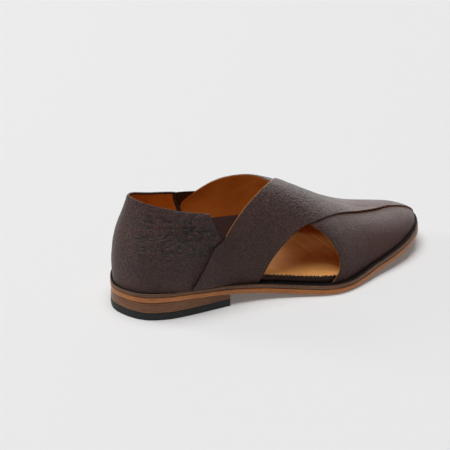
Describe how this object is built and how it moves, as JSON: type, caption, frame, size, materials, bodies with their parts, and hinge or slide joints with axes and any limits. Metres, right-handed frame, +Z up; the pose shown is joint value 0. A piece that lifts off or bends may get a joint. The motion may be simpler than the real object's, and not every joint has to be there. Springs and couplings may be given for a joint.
{
  "type": "crossover sandal",
  "caption": "Right crossover leather sandal with closed heel quarter, elastic gores, side windows, welted leather sole and stacked heel.",
  "frame": {"origin": "middle of the bounding box in plan, on the floor under the sole", "axes": "+X toward the toe, +Y to the wearer's left (medial side of this right shoe), +Z up"},
  "size_m": [0.2888, 0.1092, 0.0939],
  "materials": {
    "upper_leather": "pebbled, semi-gloss dark brown",
    "gore_elastic": "ribbed dark red-brown elastic",
    "footbed_leather": "smooth natural tan",
    "rand_leather": "smooth dark brown",
    "welt_leather": "black top, waxed brown edge",
    "outsole_leather": "waxed orange-tan edge",
    "stack_leather": "layered, waxed",
    "lift_rubber": "matt black"
  },
  "bodies": {
    "root": {"upper": "upper_leather", "gore_lateral": "gore_elastic", "gore_medial": "gore_elastic", "insole": "footbed_leather", "rand": "rand_leather", "welt": "welt_leather", "outsole": "outsole_leather", "heel_stack": "stack_leather", "top_lift": "lift_rubber"}
  },
  "joints": []
}
